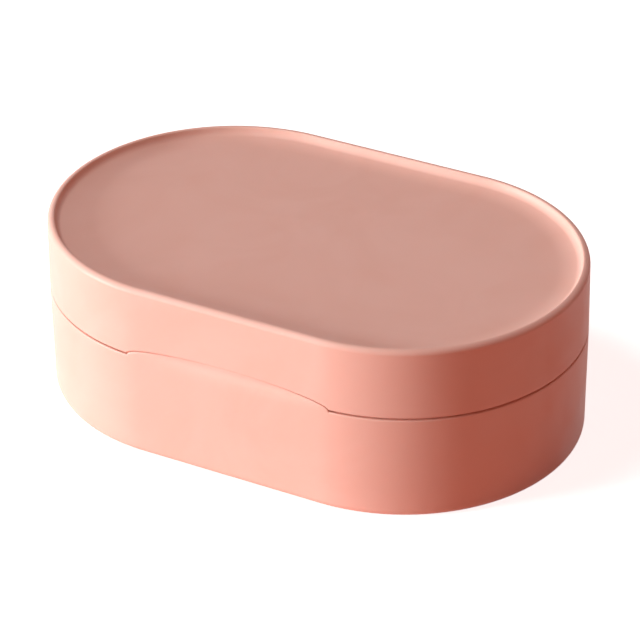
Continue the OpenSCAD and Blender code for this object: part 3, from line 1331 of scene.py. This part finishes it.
@dataclass
class SoapTray:
    """Drain tray: a slotted plate with soap ribs, a raised rim and a finger hole with a collar."""

    outline: Outline
    workshop: Workshop
    plate: float = 1.8 * MM
    rim: float = 1.6 * MM
    pitch: float = 7 * MM
    slot: float = 3 * MM
    slot_lip: float = 0.35 * MM
    slot_end: float = 0.3 * MM
    rib: float = 1.8 * MM
    rib_height: float = 1.4 * MM
    rib_edge: float = 0.7 * MM
    rib_sink: float = 0.4 * MM
    margin: float = 5.5 * MM
    edge: float = 0.7 * MM
    finger: float = 9 * MM
    finger_lip: float = 0.6 * MM
    collar: float = 1.4 * MM
    collar_edge: float = 0.6 * MM
    collar_sink: float = 0.5 * MM
    land: float = 2.2 * MM
    over: float = 1 * MM
    round_steps: int = 96

    def __post_init__(self) -> None:
        """Reads the tray's reach and heights from the frame."""
        low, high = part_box("drain_tray")
        self.low, self.high, self.radius = low[2], high[2], high[1]
        self.plate_top = self.low + self.plate
        self.rib_top = self.plate_top + self.rib_height
        self.ring = self.finger + self.collar
        self.slot_reach = self.radius - self.rim - self.margin
        self.each_way = math.floor((self.outline.spine + self.slot_reach - self.slot) / self.pitch)

    def reach_at(self, x: float) -> float:
        """Half-depth of the slotted field at a place along the tray."""
        past = max(0.0, abs(x) - self.outline.spine)
        return math.sqrt(max(0.0, self.slot_reach ** 2 - past ** 2))

    def split(self, x: float, end: float, start: float) -> list[tuple[float, float, float]]:
        """Places what runs across the tray, as one piece or as two beside the finger hole.

        Args:
            x: The place along the tray.
            end: How far the straight part reaches.
            start: Where it starts beside the finger hole, or 0 if it passes that.

        Returns:
            The X and Y of each middle and half of each length.
        """
        if start <= 0:
            return [(x, 0.0, end)]
        return [(x, side * (start + end) / 2, (end - start) / 2) for side in (-1, 1)]

    def slots(self) -> Piece:
        """Makes the drain slots.

        Returns:
            One tool that cuts them all and leaves rounded lips.
        """
        clear = self.ring + self.land
        half = self.slot / 2
        spots = []
        for i in range(-self.each_way, self.each_way + 1):
            x = i * self.pitch
            near = max(0.0, abs(x) - half)
            start = math.sqrt(clear ** 2 - near ** 2) + half if near < clear - self.slot_end else 0.0
            spots += self.split(x, self.reach_at(x) - half, start)
        profile = spool(half, self.low, self.plate_top, self.slot_lip, self.over)
        return self.workshop.pill_set("drain_slots", profile, spots)

    def ribs(self) -> Piece:
        """Makes the soap ribs.

        Returns:
            One tool that adds them all, with their feet in the plate.
        """
        half = self.rib / 2
        spots = []
        for i in range(-self.each_way, self.each_way):
            x = (i + 0.5) * self.pitch
            start = math.sqrt(self.ring ** 2 - x ** 2) if abs(x) < self.ring else 0.0
            spots += self.split(x, self.reach_at(x) - half, start)
        foot = self.plate_top - self.rib_sink
        profile = rounded([Corner(0, foot), Corner(half, foot),
                           Corner(half, self.rib_top, self.rib_edge, 7), Corner(0, self.rib_top)])
        return self.workshop.pill_set("soap_ribs", profile, spots)

    def build(self) -> None:
        """Makes the tray and hands it over."""
        inner = self.radius - self.rim
        body = rounded([
            Corner(0, self.low), Corner(self.radius, self.low, self.edge, 7),
            Corner(self.radius, self.high, self.rim / 2, 8), Corner(inner, self.high, self.rim / 2, 8),
            Corner(inner, self.plate_top, self.edge, 7), Corner(0, self.plate_top)])
        tray = self.workshop.oblong("soap_tray", body, self.outline.spine)
        foot = self.low + self.collar_sink
        collar = self.workshop.turned("collar", rounded([
            Corner(0, foot), Corner(self.ring, foot), Corner(self.ring, self.rib_top, self.collar_edge, 6),
            Corner(0, self.rib_top)]), self.round_steps)
        carve(tray, collar, Cut.JOIN)
        carve(tray, self.ribs(), Cut.JOIN)
        carve(tray, self.slots(), Cut.REMOVE)
        hole = spool(self.finger, self.low, self.rib_top, self.finger_lip, self.over)
        carve(tray, self.workshop.turned("finger_hole", hole, self.round_steps), Cut.REMOVE)
        polish(tray)
        hand_over(tray, TRAY_PLASTIC, Body.TRAY, "drain_tray")


@dataclass(frozen=True)
class PhotoCamera:
    """The photograph's viewpoint, from a camera fitted to the box's rim, seam and outline."""

    azimuth: float = math.radians(28.58)
    elevation: float = math.radians(31.2)
    roll: float = math.radians(-0.55)
    distance: float = 730.33 * MM
    aside: float = 0.64 * MM
    above: float = 15.8 * MM
    focal_pixels: float = 3277.0
    frame_pixels: float = 640.0
    sensor: float = 36.0
    sight: tuple[float, float] = (0.01, 50.0)

    def build(self) -> None:
        """Makes the camera and sets it as the scene's."""
        back = facing(self.azimuth, self.elevation)
        level = Vector((math.cos(self.azimuth), math.sin(self.azimuth), 0.0))
        upright = back.cross(level)
        right = math.cos(self.roll) * level + math.sin(self.roll) * upright
        up = math.cos(self.roll) * upright - math.sin(self.roll) * level
        data = bpy.data.cameras.new("photo_camera")
        data.sensor_width = self.sensor
        data.lens = self.sensor * self.focal_pixels / self.frame_pixels
        data.clip_start, data.clip_end = self.sight
        camera = linked("photo_camera", data)
        turn = Matrix((right, up, back)).transposed().to_4x4()
        place = back * self.distance + right * self.aside + up * self.above
        camera.matrix_world = Matrix.Translation(place) @ turn
        bpy.context.scene.camera = camera


@dataclass(frozen=True)
class Softbox:
    """Square area lamp that faces the box."""

    name: str
    azimuth: float
    elevation: float
    level: float
    size: float
    distance: float = 1.6
    aim_height: float = 0.03

    def build(self) -> None:
        """Makes the lamp: at level 1 a white surface that faces it renders white."""
        data = bpy.data.lights.new(self.name, "AREA")
        data.shape, data.size = "SQUARE", self.size
        data.energy = self.level * (math.pi * self.distance) ** 2
        lamp = linked(self.name, data)
        towards = facing(self.azimuth, self.elevation)
        lamp.location = towards * self.distance + Vector((0, 0, self.aim_height))
        lamp.rotation_euler = towards.to_track_quat("Z", "Y").to_euler()


@dataclass(frozen=True)
class Studio:
    """White floor, a low key lamp from the front left, a top lamp, and warm light off the surroundings."""

    lamps: tuple[Softbox, ...] = (
        Softbox("key_softbox", math.radians(-48.5), math.radians(6), level=1.22, size=0.5),
        Softbox("high_softbox", math.radians(-52), math.radians(60), level=0.38, size=0.5),
    )
    floor_size: float = 12.0
    white: str = "#f7f7f7"
    backdrop: tuple[float, float, float, float] = (1.0, 1.0, 1.0, 1.0)
    bounce: tuple[float, float, float, float] = (0.88, 0.30, 0.19, 1.0)
    sky: tuple[float, float, float, float] = (0.19, 0.05, 0.03, 1.0)
    floor_lift: float = 0.9

    def mixed(self, tree: Tree, light: Socket, look: Socket) -> Socket:
        """Shows the eye one shader, straight or through a reflection, and lights the box with another.

        Args:
            tree: The tree to build in.
            light: The shader that light bounces off.
            look: The shader that the eye sees.

        Returns:
            The mixed shader.
        """
        path = add_node(tree, "ShaderNodeLightPath").outputs
        maths = partial(calculate, tree, "ShaderNodeMath")
        first = maths("MAXIMUM", path["Is Camera Ray"], path["Is Glossy Ray"])
        seen = maths("MAXIMUM", first, path["Is Transmission Ray"])
        return add_node(tree, "ShaderNodeMixShader", inputs={0: seen, 1: light, 2: look}).outputs[0]

    def floor(self) -> None:
        """Makes the floor, which is white to the eye, keeps the box's shadow and throws warm light back."""
        half = self.floor_size / 2
        corners = [(-half, -half, 0), (half, -half, 0), (half, half, 0), (-half, half, 0)]
        plane = mesh_object("studio_floor", corners, [(0, 1, 2, 3)])
        material, tree = blank_material("matte_paper_floor")
        paper = add_node(tree, "ShaderNodeBsdfDiffuse", inputs={"Color": linear(self.white)}).outputs[0]
        lift = add_node(tree, "ShaderNodeEmission", inputs={
            "Color": linear(self.white), "Strength": self.floor_lift}).outputs[0]
        bright = add_node(tree, "ShaderNodeAddShader", inputs={0: paper, 1: lift}).outputs[0]
        bounce = add_node(tree, "ShaderNodeBsdfDiffuse", inputs={"Color": self.bounce}).outputs[0]
        add_node(tree, "ShaderNodeOutputMaterial", inputs={"Surface": self.mixed(tree, bounce, bright)})
        plane.data.materials.append(material)

    def surround(self) -> None:
        """Makes the world: white to the eye, dim and a little warm as light."""
        world = bpy.data.worlds.new("studio_surround")
        world.use_nodes = True
        tree = world.node_tree
        tree.nodes.clear()
        dim, white = (add_node(tree, "ShaderNodeBackground",
                               inputs={"Color": colour, "Strength": 1.0}).outputs[0]
                      for colour in (self.sky, self.backdrop))
        add_node(tree, "ShaderNodeOutputWorld", inputs={"Surface": self.mixed(tree, dim, white)})
        bpy.context.scene.world = world

    def build(self) -> None:
        """Makes the floor, the surround and the lamps, and sets how the picture shows colours."""
        self.floor()
        self.surround()
        for lamp in self.lamps:
            lamp.build()
        bpy.context.scene.view_settings.view_transform = "Standard"


def main() -> None:
    """Builds the camera, the studio and the soap box."""
    logging.basicConfig(level=logging.INFO, format="%(name)s %(message)s")
    PhotoCamera().build()
    Studio().build()
    outline = Outline.from_frame()
    workshop = Workshop()
    hinge = Hinge(outline, workshop)
    for part in (BaseMoulding(outline, workshop, hinge), LidMoulding(outline, workshop, hinge), hinge,
                 SealRing(outline, workshop), SoapTray(outline, workshop)):
        part.build()


if __name__ == "__main__":
    main()
